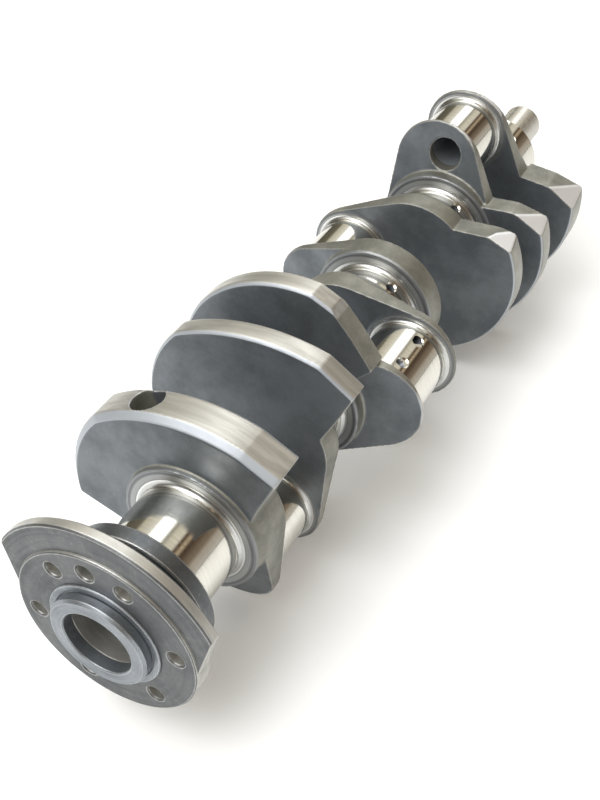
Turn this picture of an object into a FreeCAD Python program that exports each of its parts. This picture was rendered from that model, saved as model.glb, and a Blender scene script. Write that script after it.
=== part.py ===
import FreeCAD, Part
import math
import os
import sys

import Sketcher

# One-piece forged V8 crankshaft: five main journals, four crankpins at 90 degrees, eight webs,
# six of them with a counterweight. Millimetres. X runs along the crank axis from the rear
# face of the flange (x = 0) to the nose, Y is across and Z is up. Angles in the YZ plane are
# counted from +Y towards +Z, before the whole crank is turned by crank_turn.

doc = FreeCAD.newDocument("Crankshaft")
sheet = doc.addObject("Spreadsheet::Sheet", "Sizes")

SIZES = [
    # alias, value, what it is
    ("crank_turn", -9.5, "turn of the whole crank about its axis as it lies"),
    ("bore_pitch", 111.76, "distance between like crankpins (4.400 in)"),
    ("throw_radius", 49.2, "crankpin axis from the crank axis, half the stroke"),
    ("pin_radius", 26.67, "crankpin journal (2.100 in diameter)"),
    ("pin_length", 47.8, "crankpin between its thrust lands, two rods wide"),
    ("main_radius", 33.655, "main journal (2.650 in diameter)"),
    ("main_length", 25.1, "main journals 2 to 4 between their thrust lands"),
    ("pin_fillet", 2.6, "corner radius at a crankpin end"),
    ("main_fillet", 3.4, "corner radius at a main journal end"),
    ("pin_land_radius", 31.5, "ground side land round a crankpin"),
    ("pin_land_height", 0.9, "how far that land stands off the web"),
    ("main_land_radius", 44.4, "ground side land round a main journal"),
    ("main_land_height", 1.4, "how far that land stands off the web"),
    ("lobe_radius", 33.0, "rounded end of a web round its crankpin"),
    ("hub_radius", 45.4, "round part of a web about the crank axis"),
    ("lobe_slope", 10.2, "slope of a lobe's face on the main journal side, from the crank axis"),
    ("rear_lobe_slope", 17.8, "the same on web 8"),
    ("edge_break", 0.8, "small chamfer on turned edges"),
    ("tool_reach", 4.0, "how far a cutting tool starts outside the surface it cuts"),
    # rear end
    ("flange_radius", 57.0, "round part of the flange"),
    ("flange_thickness", 13.6, "flange, rear face to front face"),
    ("flange_rim_radius", 74.0, "counterweight sector on the flange"),
    ("flange_rim_setback", 1.8, "how far that sector lies in front of the flange's rear face"),
    ("flange_rim_thickness", 7.4, "thickness of that sector"),
    ("flange_rim_start", 40.0, "first corner of the sector"),
    ("flange_rim_end", 164.0, "last corner of the sector"),
    ("flange_rim_chamfer", 1.2, "chamfer along its rim"),
    ("flange_rim_lean", 25.0, "how much further round its ends reach at the flange"),
    ("pilot_hub_radius", 30.9, "flywheel register"),
    ("pilot_hub_length", 8.2, "register behind the flange face"),
    ("pilot_step_radius", 35.4, "low step round the register"),
    ("pilot_step_height", 1.4, "height of that step"),
    ("pilot_step_chamfer", 0.5, "chamfer on that step"),
    ("register_groove", 0.6, "width of the relief groove at the foot of the register"),
    ("register_groove_floor", 0.4, "how far its floor stands off the flange face"),
    ("pilot_bore_radius", 21.65, "pilot bore (1.705 in diameter)"),
    ("pilot_bore_depth", 24.0, "pilot bore from the end of the register"),
    ("pilot_drill_radius", 12.0, "drilled bottom of the pilot bore"),
    ("pilot_drill_depth", 7.0, "straight part of the drilled bottom, beyond the bore"),
    ("bolt_circle_radius", 45.466, "flywheel bolts (3.580 in circle)"),
    ("bolt_hole_radius", 5.0, "flywheel bolt hole, tapping size for 7/16 in"),
    ("hole_chamfer", 1.0, "chamfer at the mouth of a flange hole"),
    ("bolt_first_angle", 0.9, "first flywheel bolt hole"),
    ("dowel_hole_radius", 5.2, "flywheel dowel hole"),
    ("dowel_angle", 90.9, "dowel hole, midway between two bolt holes"),
    ("dowel_hole_depth", 10.0, "depth of the dowel hole"),
    ("seal_land_radius", 39.6, "rear oil seal land"),
    ("slinger_start", 27.5, "rear face of the oil slinger"),
    ("slinger_end", 37.9, "front face of the oil slinger"),
    ("slinger_radius", 44.9, "oil slinger"),
    ("thrust_face", 82.4, "thrust face at the front of main journal 5"),
    ("web8_rear", 86.4, "rear face of web 8"),
    ("pin4_start", 116.2, "rear land of crankpin 4"),
    # front end
    ("main1_end", 560.0, "front end of main journal 1"),
    ("gear_seat_radius", 18.2, "timing gear seat"),
    ("gear_seat_end", 583.0, "front end of the timing gear seat"),
    ("snout_radius", 15.85, "damper seat (1.248 in diameter)"),
    ("snout_end", 620.0, "nose of the crank"),
    ("key_angle", 84.0, "keyways"),
    ("key_width", 4.76, "keyway width (3/16 in)"),
    ("key_depth", 2.6, "keyway depth"),
    ("damper_key_start", 592.0, "rear end of the damper keyway"),
    ("damper_key_end", 616.0, "front end of the damper keyway"),
    ("gear_key_start", 564.0, "rear end of the timing gear keyway"),
    ("gear_key_end", 580.0, "front end of the timing gear keyway"),
    ("nose_hole_radius", 5.0, "damper bolt hole, tapping size for 7/16 in"),
    ("nose_hole_depth", 33.0, "depth of the damper bolt hole"),
    ("nose_hole_tip", 3.0, "height of its conical bottom"),
    ("nose_hole_chamfer", 1.5, "chamfer at its mouth"),
    ("nose_chamfer", 1.6, "chamfer round the nose"),
    # holes
    ("oil_radius", 3.2, "oil drillings"),
    ("oil_mouth_radius", 4.4, "ground mouth of an oil hole"),
    ("oil_main_angle", 130.5, "oil holes in main journals 1 to 4"),
    ("oil_rear_angle", -80.0, "oil hole in main journal 5"),
    ("oil_front_place", 16.0, "oil hole of main journal 1, from the journal's rear end"),
    ("oil_rear_place", 18.0, "oil hole of main journal 5, from the journal's front end"),
    ("oil_main_offset", 4.5, "how far forward of those places, or of the journal's middle"),
    ("oil_pin_angle", -56.5, "oil holes in a crankpin, from its throw"),
    ("oil_pin_offset", 11.5, "their distance either side of the pin's middle"),
    ("bob_hole_radius", 10.6, "balance drilling in counterweight 8"),
    ("bob_hole_depth", 27.0, "depth of that drilling"),
    ("bob_hole_angle", 73.5, "place of that drilling round the rim"),
    ("bob_hole_forward", 1.5, "its axis forward of the rim's middle"),
    ("lightening_radius", 12.2, "lightening hole in crankpin 1"),
    ("lightening_depth", 62.0, "depth of that hole from web 2"),
    ("lightening_outset", 8.5, "its axis beyond the pin axis"),
    ("lightening_aside", 7.0, "its axis to one side of the pin axis"),
]

# Counterweights. Their outlines start at corner a, follow the rim past two shoulders to
# corner b, and come back to the web past a knee on each side.
# node number: (rear, front, chamfer, rim radius between the shoulders,
#               corner a, shoulder a, shoulder b, corner b, knee b, root b, root a, knee a)
WEIGHTS = {
    8: ("web8_rear", 113.9, 4.2, 110.0, (87.0, 1.5), (85.5, 50.0), (80.5, 125.0), (83.5, 142.0),
        (56.0, 151.0), (36.0, 172.0), (36.0, -40.0), (57.5, -13.5)),
    7: (165.0, 180.6, 1.8, 133.0, (83.0, 15.0), (87.0, 56.0), (86.0, 127.0), (87.0, 144.5),
        (62.0, 153.0), (38.0, 172.0), (38.0, -30.0), (58.0, 0.0)),
    6: (210.0, 225.8, 1.8, 89.0, (84.0, -14.5), (88.0, 45.0), (87.5, 106.0), (84.0, 115.5),
        (74.0, 130.0), (68.0, 149.0), (36.0, -48.0), (57.0, -26.0)),
    3: (388.4, 405.5, 1.2, 81.0, (79.6, 163.6), (81.0, 190.0), (81.0, 265.0), (81.0, 290.0),
        (56.0, 302.0), (38.0, 318.0), (43.0, 137.0), (69.0, 157.5)),
    2: (433.4, 450.5, 1.2, 87.0, (84.5, 171.5), (87.0, 205.0), (87.0, 290.0), (87.0, 318.0),
        (60.0, 328.0), (38.0, 345.0), (44.0, 148.0), (65.0, 160.5)),
    1: (500.2, 524.0, 1.2, 87.0, (85.7, 181.1), (87.0, 215.0), (87.0, 300.0), (87.0, 322.0),
        (58.0, 335.0), (36.0, 355.0), (44.0, 160.0), (65.5, 172.5)),
}
WEIGHT_POINTS = ["corner_a", "shoulder_a", "shoulder_b", "corner_b", "knee_b", "root_b",
                 "root_a", "knee_a"]
THROW_ANGLE = {1: 90, 2: 0, 3: 180, 4: 270}
CHEEK = "((Sizes.bore_pitch - Sizes.pin_length - Sizes.main_length) / 2)"


def fill_sheet():
    rows = list(SIZES)
    for number, (rear, front, chamfer, rim, *points) in WEIGHTS.items():
        label = "cw%d_" % number
        if isinstance(rear, float):
            rows.append((label + "rear", rear, "rear face of counterweight %d" % number))
        rows.append((label + "front", front, "front face of counterweight %d" % number))
        rows.append((label + "chamfer", chamfer, "chamfer along its rim"))
        rows.append((label + "rim", rim, "rim radius between its shoulders"))
        for point, (reach, angle) in zip(WEIGHT_POINTS, points):
            rows.append((label + point + "_reach", reach, "distance of this corner from the axis"))
            rows.append((label + point + "_angle", angle, "angle of this corner"))
    for row, (alias, value, meaning) in enumerate(rows, start=1):
        sheet.set("A%d" % row, alias)
        sheet.set("B%d" % row, repr(value))
        sheet.set("C%d" % row, meaning)
        sheet.setAlias("B%d" % row, alias)
    doc.recompute()


def worth(text):
    """The number that an expression on the sheet gives."""
    return float(sheet.evalExpression(text))


def bind(thing, **expressions):
    """Tie properties of a document object to expressions; __ stands for a dot."""
    for name, text in expressions.items():
        thing.setExpression(name.replace("__", "."), text)


def cell(alias):
    return "Sizes." + alias


def across(reach, angle):
    return "(%s) * cos(Sizes.crank_turn + (%s))" % (reach, angle)


def up(reach, angle):
    return "(%s) * sin(Sizes.crank_turn + (%s))" % (reach, angle)


def x_of_pin(number):
    """Start of a crankpin, at its rear land."""
    return "(Sizes.pin4_start + %d * Sizes.bore_pitch)" % (4 - number)


def pin_place(number):
    angle = str(THROW_ANGLE[number])
    return across(cell("throw_radius"), angle), up(cell("throw_radius"), angle)


# ---------------------------------------------------------------- sketches and solids

def outline_sketch(name, start, points, rounds):
    """A closed outline in the YZ plane at x = start.

    points are (y, z) expressions in order; rounds gives the radius of the edges that are
    arcs, by the number of the point where they begin, and the rest are straight.
    """
    sketch = doc.addObject("Sketcher::SketchObject", name)
    sketch.Placement = FreeCAD.Placement(
        FreeCAD.Vector(worth(start), 0, 0), FreeCAD.Rotation(FreeCAD.Vector(1, 1, 1), 120))
    bind(sketch, Placement__Base__x=start)
    draw_outline(sketch, points, rounds)
    return sketch


def draw_outline(sketch, points, rounds):
    corners = [FreeCAD.Vector(worth(first), worth(second), 0) for first, second in points]
    count = len(corners)
    for index in range(count):
        begin = corners[index]
        end = corners[(index + 1) % count]
        if index in rounds:
            sketch.addGeometry(arc_between(begin, end, worth(rounds[index])), False)
        else:
            sketch.addGeometry(Part.LineSegment(begin, end), False)
    first_end = [1 if index not in rounds or worth(rounds[index]) > 0 else 2
                 for index in range(count)]
    for index in range(count):
        after = (index + 1) % count
        sketch.addConstraint(Sketcher.Constraint(
            "Coincident", index, 3 - first_end[index], after, first_end[after]))
        for kind, value, text in (("DistanceX", corners[index].x, points[index][0]),
                                  ("DistanceY", corners[index].y, points[index][1])):
            number = sketch.addConstraint(
                Sketcher.Constraint(kind, -1, 1, index, first_end[index], value))
            label = "%s%d" % (kind[-1].lower() + "_", index)
            sketch.renameConstraint(number, label)
            sketch.setExpression("Constraints." + label, text)
        if index in rounds:
            number = sketch.addConstraint(
                Sketcher.Constraint("Radius", index, abs(worth(rounds[index]))))
            label = "round_%d" % index
            sketch.renameConstraint(number, label)
            sketch.setExpression("Constraints." + label, "abs(%s)" % rounds[index])


def arc_between(begin, end, radius):
    """The shorter arc from begin to end: counter-clockwise, or clockwise if radius < 0."""
    chord = end - begin
    half = chord.Length / 2
    size = abs(radius)
    sagitta = size - math.sqrt(max(size ** 2 - half ** 2, 0))
    outward = FreeCAD.Vector(chord.y, -chord.x, 0).normalize()
    if radius < 0:
        outward = outward * -1
    middle = (begin + end) * 0.5 + outward * sagitta
    curve = Part.Arc(begin, middle, end)
    return curve


def plate(name, start, end, points, rounds):
    """An outline in the YZ plane, extruded along X from start to end."""
    block = doc.addObject("Part::Extrusion", name)
    block.Base = outline_sketch(name + "_outline", start, points, rounds)
    block.DirMode = "Custom"
    block.Dir = FreeCAD.Vector(1, 0, 0)
    block.Solid = True
    bind(block, LengthFwd="(%s) - (%s)" % (end, start))
    return block


def x_cylinder(name, radius, start, end, place=("0", "0")):
    rod = doc.addObject("Part::Cylinder", name)
    rod.Placement = FreeCAD.Placement(
        FreeCAD.Vector(0, 0, 0), FreeCAD.Rotation(FreeCAD.Vector(0, 1, 0), 90))
    bind(rod, Radius=radius, Height="(%s) - (%s)" % (end, start),
         Placement__Base__x=start, Placement__Base__y=place[0], Placement__Base__z=place[1])
    return rod


def turned(name, profile, rounds, place=("0", "0")):
    """A body turned about an axis along X; profile is (x, radius) expressions in order."""
    body = doc.addObject("PartDesign::Body", name)
    roles = {feature.Role: feature for feature in body.Origin.OriginFeatures}
    sketch = body.newObject("Sketcher::SketchObject", name + "_profile")
    sketch.AttachmentSupport = [(roles["XY_Plane"], "")]
    sketch.MapMode = "FlatFace"
    draw_outline(sketch, profile, rounds)
    spin = body.newObject("PartDesign::Revolution", name + "_turned")
    spin.Profile = sketch
    spin.ReferenceAxis = (roles["X_Axis"], [""])
    spin.Angle = 360
    body.Tip = spin
    bind(body, Placement__Base__y=place[0], Placement__Base__z=place[1])
    return body


def joined(name, pieces):
    whole = doc.addObject("Part::MultiFuse", name)
    whole.Shapes = pieces
    whole.Refine = True
    return whole


def cut(name, blank, tool):
    piece = doc.addObject("Part::Cut", name)
    piece.Base = blank
    piece.Tool = tool
    piece.Refine = True
    return piece


# ---------------------------------------------------------------- journals

def journal(name, radius, fillet, start, end, place=("0", "0"), ends=(True, True)):
    """A ground journal whose corners sweep up to the side lands."""
    top = "%s + %s" % (radius, fillet)
    profile = [(start, "0"), (end, "0")]
    rounds = {}
    if ends[1]:
        rounds[len(profile)] = "-" + fillet
        profile += [(end, top), ("%s - %s" % (end, fillet), radius)]
    else:
        profile += [("%s" % end, "%s - 2 * Sizes.edge_break" % radius),
                    ("%s - 2 * Sizes.edge_break" % end, radius)]
    if ends[0]:
        rounds[len(profile)] = "-" + fillet
        profile += [("%s + %s" % (start, fillet), radius), (start, top)]
    else:
        profile += [(start, radius)]
    return turned(name, profile, rounds, place)


def main_span(number):
    """Start and end of a main journal along X."""
    start = cell("slinger_end")
    end = cell("main1_end")
    if number < 5:
        start = "%s + Sizes.pin_length + %s" % (x_of_pin(number), CHEEK)
    if number == 5:
        end = cell("thrust_face")
    elif number > 1:
        end = "%s - %s" % (x_of_pin(number - 1), CHEEK)
    return start, end


def main_journal(number):
    start, end = main_span(number)
    return journal("main_journal_%d_blank" % number, cell("main_radius"), cell("main_fillet"),
                   start, end, ends=(True, number != 1))


def crankpin(number):
    start = x_of_pin(number)
    end = "%s + Sizes.pin_length" % start
    return journal("crankpin_%d_blank" % number, cell("pin_radius"), cell("pin_fillet"),
                   start, end, pin_place(number))


# ---------------------------------------------------------------- webs

def web_pin(number):
    return (number + 1) // 2


def web_span(number):
    """Rear and front faces of a web at its lands, and whether its main journal is in front."""
    pin = web_pin(number)
    if number % 2 == 1:
        start = "%s + Sizes.pin_length" % x_of_pin(pin)
        return start, "%s + %s" % (start, CHEEK), True
    start = cell("thrust_face") if number == 8 else "%s - %s" % (x_of_pin(pin), CHEEK)
    return start, x_of_pin(pin), False


def web_blank(number):
    """A web without its counterweight: a round lobe at the pin, tangent to a round hub."""
    start, end, main_in_front = web_span(number)
    pin = web_pin(number)
    throw = THROW_ANGLE[pin]
    pin_face, main_face = (start, end) if main_in_front else (end, start)
    pin_side = "Sizes.pin_land_height"
    main_side = "Sizes.main_land_height" if number < 8 else "(Sizes.web8_rear - Sizes.thrust_face)"
    rear, front = (
        ("%s + %s" % (start, pin_side), "%s - %s" % (end, main_side)) if main_in_front
        else ("%s + %s" % (start, main_side), "%s - %s" % (end, pin_side)))
    spread = "(acos((Sizes.hub_radius - Sizes.lobe_radius) / Sizes.throw_radius) / 1 deg)"
    lobe = pin_place(pin)
    points = []
    for centre, radius, sides in ((("0", "0"), "Sizes.hub_radius", (1, -1)),
                                  (lobe, "Sizes.lobe_radius", (-1, 0, 1))):
        for side in sides:
            angle = "%d + %d * %s" % (throw, side, spread)
            points.append(("%s + %s" % (centre[0], across(radius, angle)),
                           "%s + %s" % (centre[1], up(radius, angle))))
    # the hub arc is more than half a turn, so it is split at its middle
    back = str(throw + 180)
    points.insert(1, (across("Sizes.hub_radius", back), up("Sizes.hub_radius", back)))
    rounds = {0: "Sizes.hub_radius", 1: "Sizes.hub_radius",
              3: "Sizes.lobe_radius", 4: "Sizes.lobe_radius"}
    name = "web_%d" % number
    cheek = plate(name + "_cheek", rear, front, points, rounds)
    sloped = cut(name + "_sloped", cheek,
                 slope_tool(number, front if main_in_front else rear, main_in_front))
    pin_rear, pin_front = (pin_face, rear) if main_in_front else (front, pin_face)
    main_rear, main_front = (rear, main_face) if main_in_front else (main_face, front)
    pin_land = x_cylinder(name + "_pin_land", cell("pin_land_radius"), pin_rear, pin_front, lobe)
    main_land = x_cylinder(name + "_main_land", cell("main_land_radius"), main_rear, main_front)
    return joined(name + "_blank", [sloped, pin_land, main_land])


def slope_tool(number, face, main_in_front):
    """The wedge that thins a lobe from the crank axis outwards, on the side of the main journal."""
    side = 1 if main_in_front else -1
    wedge = doc.addObject("Part::Box", "web_%d_slope" % number)
    size = "3 * Sizes.throw_radius"
    stand = FreeCAD.Rotation(FreeCAD.Vector(1, 0, 0),
                             worth("Sizes.crank_turn") + THROW_ANGLE[web_pin(number)] - 90)
    slope = worth("Sizes.rear_lobe_slope" if number == 8 else "Sizes.lobe_slope")
    tilt = stand * FreeCAD.Rotation(FreeCAD.Vector(0, 1, 0), -side * slope)
    back = 0 if side > 0 else -worth(size)
    corner = tilt.multVec(FreeCAD.Vector(back, -worth(size) / 2, 0))
    wedge.Placement = FreeCAD.Placement(corner + FreeCAD.Vector(worth(face), 0, 0), tilt)
    bind(wedge, Length=size, Width=size, Height=size)
    return wedge


# ---------------------------------------------------------------- counterweights

def counterweight(number, web):
    label = "cw%d_" % number
    rear = cell("web8_rear") if number == 8 else cell(label + "rear")
    front = cell(label + "front")
    points = []
    for point in WEIGHT_POINTS:
        reach = cell(label + point + "_reach")
        angle = cell(label + point + "_angle")
        points.append((across(reach, angle), up(reach, angle)))
    rounds = {0: cell(label + "corner_a_reach"), 1: cell(label + "rim")}
    name = "counterweight_%d" % number
    blank = plate(name + "_plate", rear, front, points, rounds)
    doc.recompute()
    edged = doc.addObject("Part::Chamfer", name + "_edged")
    edged.Base = blank
    width = worth(cell(label + "chamfer"))
    edged.Edges = [(index, width, width) for index in rim_edges(blank.Shape, number)]
    if number > 1:
        return cut(name + "_blank", edged, web)
    # this one reaches past its web, so it keeps clear of the journal in front
    room = x_cylinder(name + "_room", cell("hub_radius"), web_span(number)[1],
                      "%s + Sizes.tool_reach" % front)
    return cut(name + "_blank", edged, joined(name + "_tool", [web, room]))


def rim_edges(shape, number):
    """Numbers of the edges along the rim, from corner a to corner b, on both faces."""
    label = "cw%d_" % number
    ends = [FreeCAD.Vector(0, worth(across(cell(label + p + "_reach"), cell(label + p + "_angle"))),
                           worth(up(cell(label + p + "_reach"), cell(label + p + "_angle"))))
            for p in WEIGHT_POINTS[:4]]
    found = []
    for index, edge in enumerate(shape.Edges, start=1):
        first, last = (FreeCAD.Vector(0, v.Y, v.Z) for v in (edge.Vertexes[0], edge.Vertexes[-1]))
        along_x = abs(edge.Vertexes[0].X - edge.Vertexes[-1].X) > 1e-6
        near = [min(first.distanceToPoint(end) for end in ends),
                min(last.distanceToPoint(end) for end in ends)]
        if not along_x and max(near) < 1e-4:
            found.append(index)
    return found


# ---------------------------------------------------------------- holes

def oil_drillings():
    """Every drilling from a crankpin hole to the middle of its main journal, with the mouths."""
    tools = []
    radius = worth("Sizes.oil_radius")
    mouth = worth("Sizes.oil_mouth_radius")
    skin = mouth - radius
    reach = worth("Sizes.tool_reach") / 4

    def drill(surface, inner, outward):
        run = inner - surface
        start = surface + outward * reach
        tools.append(Part.makeCylinder(radius, run.Length, surface, run))
        tools.append(Part.makeCylinder(radius, reach + skin, start, outward * -1))
        tools.append(Part.makeCone(mouth + reach, radius, skin + reach, start, outward * -1))

    middles = {}
    for number in range(1, 6):
        start, end = (worth(text) for text in main_span(number))
        place = (start + end) / 2
        if number == 1:
            place = start + worth("Sizes.oil_front_place")
        elif number == 5:
            place = end - worth("Sizes.oil_rear_place")
        place += worth("Sizes.oil_main_offset")
        out = radial(cell("oil_rear_angle" if number == 5 else "oil_main_angle"))
        middles[number] = FreeCAD.Vector(place, 0, 0)
        drill(middles[number] + out * worth("Sizes.main_radius"), middles[number], out)
    for number in range(1, 5):
        centre = FreeCAD.Vector(worth("%s + Sizes.pin_length / 2" % x_of_pin(number)),
                                worth(pin_place(number)[0]), worth(pin_place(number)[1]))
        out = radial("Sizes.oil_pin_angle + %d" % THROW_ANGLE[number])
        for side, main in ((-1, number + 1), (1, number)):
            aside = FreeCAD.Vector(side * worth("Sizes.oil_pin_offset"), 0, 0)
            surface = centre + aside + out * worth("Sizes.pin_radius")
            drill(surface, middles[main], out)
    tool = doc.addObject("Part::Feature", "oil_drillings")
    tool.Shape = tools[0].fuse(tools[1:])
    return tool


def radial(angle):
    return FreeCAD.Vector(0, worth(across("1", angle)), worth(up("1", angle)))


def radial_cylinder(name, radius, angle, along, depth_from, depth_to):
    """A cylinder on a radius of the crank, between two distances from its axis."""
    rod = doc.addObject("Part::Cylinder", name)
    turn = "Sizes.crank_turn + %s" % angle
    rod.Placement = FreeCAD.Placement(
        FreeCAD.Vector(0, 0, 0), FreeCAD.Rotation(FreeCAD.Vector(1, 0, 0), worth(turn) - 90))
    bind(rod, Radius=radius, Height="(%s) - (%s)" % (depth_to, depth_from), Placement__Base__x=along,
         Placement__Base__y=across(depth_from, angle), Placement__Base__z=up(depth_from, angle))
    return rod


def keyway(name, start, end, radius):
    slot = doc.addObject("Part::Box", name)
    turn = "Sizes.crank_turn + Sizes.key_angle"
    floor = "(%s - Sizes.key_depth)" % radius
    slot.Placement = FreeCAD.Placement(
        FreeCAD.Vector(0, 0, 0), FreeCAD.Rotation(FreeCAD.Vector(1, 0, 0), worth(turn) - 90))
    beside = "Sizes.key_width / 2"
    bind(slot, Length="%s - %s" % (end, start), Width=cell("key_width"),
         Height="Sizes.key_depth + Sizes.tool_reach", Placement__Base__x=start,
         Placement__Base__y="%s + %s" % (across(floor, "Sizes.key_angle"),
                                         across(beside, "Sizes.key_angle - 90")),
         Placement__Base__z="%s + %s" % (up(floor, "Sizes.key_angle"),
                                         up(beside, "Sizes.key_angle - 90")))
    return slot


# ---------------------------------------------------------------- rear end

def rear_end(nodes):
    step = cell("edge_break")
    hub = turned("pilot_hub", [
        ("-Sizes.pilot_hub_length", "Sizes.pilot_bore_radius + " + step),
        ("-Sizes.pilot_hub_length + " + step, cell("pilot_bore_radius")),
        ("0", cell("pilot_bore_radius")),
        ("0", cell("pilot_step_radius")),
        ("-Sizes.pilot_step_height + Sizes.pilot_step_chamfer", cell("pilot_step_radius")),
        ("-Sizes.pilot_step_height", "Sizes.pilot_step_radius - Sizes.pilot_step_chamfer"),
        ("-Sizes.pilot_step_height", "Sizes.pilot_hub_radius + Sizes.register_groove"),
        ("-Sizes.register_groove_floor", "Sizes.pilot_hub_radius + Sizes.register_groove / 3"),
        ("-Sizes.register_groove_floor", "Sizes.pilot_hub_radius - Sizes.register_groove"),
        ("-Sizes.pilot_step_height - Sizes.register_groove", cell("pilot_hub_radius")),
        ("-Sizes.pilot_hub_length + 2 * " + step, cell("pilot_hub_radius")),
        ("-Sizes.pilot_hub_length", "Sizes.pilot_hub_radius - 2 * " + step)], {})
    nodes["pilot_hub"] = hub

    bore_end = "(Sizes.pilot_bore_depth - Sizes.pilot_hub_length)"
    disc = turned("flange_blank", [
        ("0", cell("pilot_bore_radius")),
        ("Sizes.flange_thickness", cell("pilot_bore_radius")),
        ("Sizes.flange_thickness", "Sizes.flange_radius - " + step),
        ("Sizes.flange_thickness - " + step, cell("flange_radius")),
        (step, cell("flange_radius")),
        ("0", "Sizes.flange_radius - " + step)], {})
    holes = []
    for index in range(6):
        angle = "Sizes.bolt_first_angle + %d" % (60 * index)
        holes += flange_hole("bolt_%d" % (index + 1), "bolt_hole_radius", angle,
                             "Sizes.flange_thickness + Sizes.tool_reach")
    holes += flange_hole("dowel", "dowel_hole_radius", cell("dowel_angle"),
                         cell("dowel_hole_depth"))
    nodes["rear_flange"] = cut("rear_flange", disc, joined("flange_holes", holes))

    rim_points = []
    for reach, angle in (("flange_rim_radius", "Sizes.flange_rim_start"),
                         ("flange_rim_radius", "(Sizes.flange_rim_start + Sizes.flange_rim_end) / 2"),
                         ("flange_rim_radius", "Sizes.flange_rim_end"),
                         ("flange_radius", "Sizes.flange_rim_end + Sizes.flange_rim_lean"),
                         ("flange_radius", "Sizes.flange_rim_start - Sizes.flange_rim_lean")):
        rim_points.append((across(cell(reach), angle), up(cell(reach), angle)))
    rim = plate("flange_rim_plate", cell("flange_rim_setback"),
                "Sizes.flange_rim_setback + Sizes.flange_rim_thickness", rim_points,
                {0: cell("flange_rim_radius"), 1: cell("flange_rim_radius")})
    doc.recompute()
    edged = doc.addObject("Part::Chamfer", "flange_rim_edged")
    edged.Base = rim
    outer = worth(cell("flange_rim_radius"))
    width = worth(cell("flange_rim_chamfer"))
    edged.Edges = [(index, width, width) for index, edge in enumerate(rim.Shape.Edges, start=1)
                   if edge.Curve.TypeId == "Part::GeomCircle"
                   and abs(edge.Curve.Radius - outer) < 1e-3]
    core = x_cylinder("flange_core", cell("flange_radius"), "-Sizes.tool_reach",
                      "Sizes.flange_thickness")
    nodes["flange_counterweight"] = cut("flange_counterweight", edged, core)

    nodes["rear_seal_land"] = turned("rear_seal_land", [
        ("Sizes.flange_thickness", cell("pilot_bore_radius")),
        (bore_end, cell("pilot_bore_radius")),
        (bore_end, cell("pilot_drill_radius")),
        ("%s + Sizes.pilot_drill_depth" % bore_end, cell("pilot_drill_radius")),
        ("Sizes.slinger_start", "0"),
        ("Sizes.slinger_start", cell("seal_land_radius")),
        ("Sizes.flange_thickness", cell("seal_land_radius"))], {})
    nodes["oil_slinger"] = turned("oil_slinger", [
        ("Sizes.slinger_start", "0"),
        ("Sizes.slinger_end", "0"),
        ("Sizes.slinger_end", "Sizes.slinger_radius - " + step),
        ("Sizes.slinger_end - " + step, cell("slinger_radius")),
        ("Sizes.slinger_start + " + step, cell("slinger_radius")),
        ("Sizes.slinger_start", "Sizes.slinger_radius - " + step)], {})


def flange_hole(name, radius, angle, depth):
    """A hole in the flange, with a chamfered mouth at its rear face."""
    place = (across("Sizes.bolt_circle_radius", angle), up("Sizes.bolt_circle_radius", angle))
    hole = x_cylinder(name + "_hole", cell(radius), "-Sizes.tool_reach", depth, place)
    mouth = doc.addObject("Part::Cone", name + "_mouth")
    mouth.Placement = FreeCAD.Placement(
        FreeCAD.Vector(0, 0, 0), FreeCAD.Rotation(FreeCAD.Vector(0, 1, 0), 90))
    bind(mouth, Radius1="Sizes.%s + 2 * Sizes.hole_chamfer" % radius, Radius2=cell(radius),
         Height="2 * Sizes.hole_chamfer", Placement__Base__x="-Sizes.hole_chamfer",
         Placement__Base__y=place[0], Placement__Base__z=place[1])
    return [hole, mouth]


# ---------------------------------------------------------------- front end

def front_end(nodes):
    step = cell("edge_break")
    seat = turned("gear_seat_blank", [
        ("Sizes.main1_end", "0"), ("Sizes.gear_seat_end", "0"),
        ("Sizes.gear_seat_end", "Sizes.gear_seat_radius - " + step),
        ("Sizes.gear_seat_end - " + step, cell("gear_seat_radius")),
        ("Sizes.main1_end", cell("gear_seat_radius"))], {})
    nodes["timing_gear_seat"] = cut("timing_gear_seat", seat, keyway(
        "gear_keyway", "Sizes.gear_key_start", "Sizes.gear_key_end", "Sizes.gear_seat_radius"))
    snout = turned("snout_blank", [
        ("Sizes.gear_seat_end", "0"), ("Sizes.snout_end - Sizes.nose_hole_depth", "0"),
        ("Sizes.snout_end - Sizes.nose_hole_depth + Sizes.nose_hole_tip", cell("nose_hole_radius")),
        ("Sizes.snout_end - Sizes.nose_hole_chamfer", cell("nose_hole_radius")),
        ("Sizes.snout_end", "Sizes.nose_hole_radius + Sizes.nose_hole_chamfer"),
        ("Sizes.snout_end", "Sizes.snout_radius - Sizes.nose_chamfer"),
        ("Sizes.snout_end - Sizes.nose_chamfer", cell("snout_radius")),
        ("Sizes.gear_seat_end", cell("snout_radius"))], {})
    nodes["damper_snout"] = cut("damper_snout", snout, keyway(
        "damper_keyway", "Sizes.damper_key_start", "Sizes.damper_key_end", "Sizes.snout_radius"))


# ---------------------------------------------------------------- the whole crank

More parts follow.
